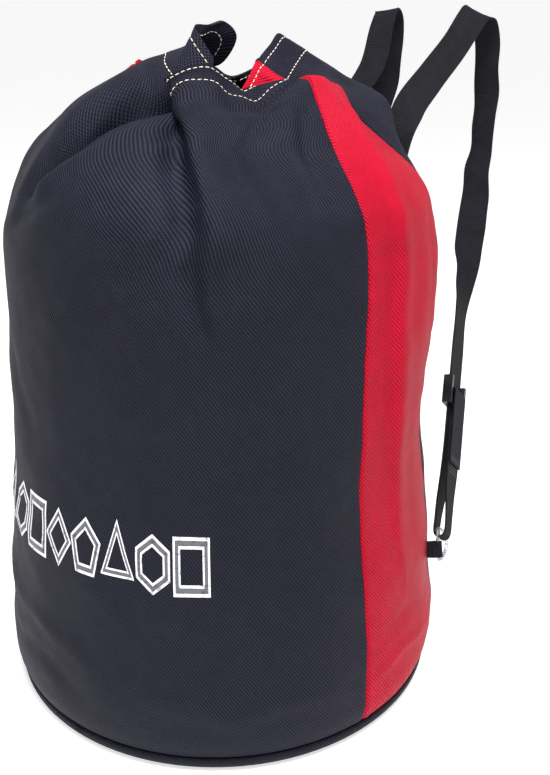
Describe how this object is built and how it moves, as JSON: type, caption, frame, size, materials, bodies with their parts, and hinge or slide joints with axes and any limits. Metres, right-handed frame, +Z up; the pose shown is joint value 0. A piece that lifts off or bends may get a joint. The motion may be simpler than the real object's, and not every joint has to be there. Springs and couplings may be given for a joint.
{
  "type": "drawstring gear backpack",
  "caption": "Round drawstring gear backpack in black and red cloth, standing on its base, with gathered mouth and two adjustable webbing shoulder straps.",
  "frame": {"origin": "centre of the base, on the floor", "axes": "+Z up, front of the bag towards -Y, straps towards +Y, the wearer's right-hand side strap as seen from behind at +X"},
  "size_m": [0.4026, 0.6021, 0.5838],
  "materials": {
    "black_cloth": "coated ribbed polyester, slight sheen",
    "red_cloth": "ribbed polyester, slight sheen",
    "webbing": "ribbed polypropylene webbing",
    "binding_tape": "plain woven tape",
    "black_plastic": "moulded, satin",
    "steel": "nickel plated"
  },
  "bodies": {
    "bag": {"front_panel": "black_cloth", "back_panel": "black_cloth", "base_panel": "black_cloth", "right_side_panel": "red_cloth", "left_side_panel": "red_cloth", "base_seam_binding": "binding_tape", "front_right_seam_binding": "binding_tape", "front_left_seam_binding": "binding_tape", "back_right_seam_binding": "binding_tape", "back_left_seam_binding": "binding_tape", "right_anchor_patch": "webbing", "right_strap_root": "webbing", "right_ring_tab": "webbing", "right_cord_eyelet": "steel", "left_anchor_patch": "webbing", "left_strap_root": "webbing", "left_ring_tab": "webbing", "left_cord_eyelet": "steel"},
    "right_strap": {"right_shoulder_strap": "webbing", "right_strap_loop": "webbing"},
    "right_adjuster": {"right_slider": "black_plastic", "right_strap_end": "webbing"},
    "right_ring_wire": {"right_ring": "steel"},
    "left_strap": {"left_shoulder_strap": "webbing", "left_strap_loop": "webbing"},
    "left_adjuster": {"left_slider": "black_plastic", "left_strap_end": "webbing"},
    "left_ring_wire": {"left_ring": "steel"}
  },
  "joints": [
    {"name": "right_strap_swing", "type": "hinge", "parent": "bag", "child": "right_strap", "pos_m": [0.186, 0.086, 0.122], "axis": [0.2703, -0.2579, -0.9276], "range_deg": [-10, 60], "deforming": ["right_strap_root"]},
    {"name": "right_ring_turn", "type": "hinge", "parent": "bag", "child": "right_ring_wire", "pos_m": [0.186, 0.086, 0.122], "axis": [0.2703, -0.2579, -0.9276], "range_deg": [-10, 60]},
    {"name": "right_adjuster_slide", "type": "slide", "parent": "right_strap", "child": "right_adjuster", "axis": [-0.2801, 0.6402, 0.7153], "range_m": [-0.02, 0.025]},
    {"name": "left_strap_swing", "type": "hinge", "parent": "bag", "child": "left_strap", "pos_m": [-0.186, 0.086, 0.122], "axis": [0.2703, 0.2579, 0.9276], "range_deg": [-10, 60], "deforming": ["left_strap_root"]},
    {"name": "left_ring_turn", "type": "hinge", "parent": "bag", "child": "left_ring_wire", "pos_m": [-0.186, 0.086, 0.122], "axis": [0.2703, 0.2579, 0.9276], "range_deg": [-10, 60]},
    {"name": "left_adjuster_slide", "type": "slide", "parent": "left_strap", "child": "left_adjuster", "axis": [0.2801, 0.6402, 0.7153], "range_m": [-0.02, 0.025]}
  ],
  "couplings": [
    {"joint": "right_ring_turn", "follows": "right_strap_swing", "ratio": 1},
    {"joint": "left_ring_turn", "follows": "left_strap_swing", "ratio": 1}
  ]
}
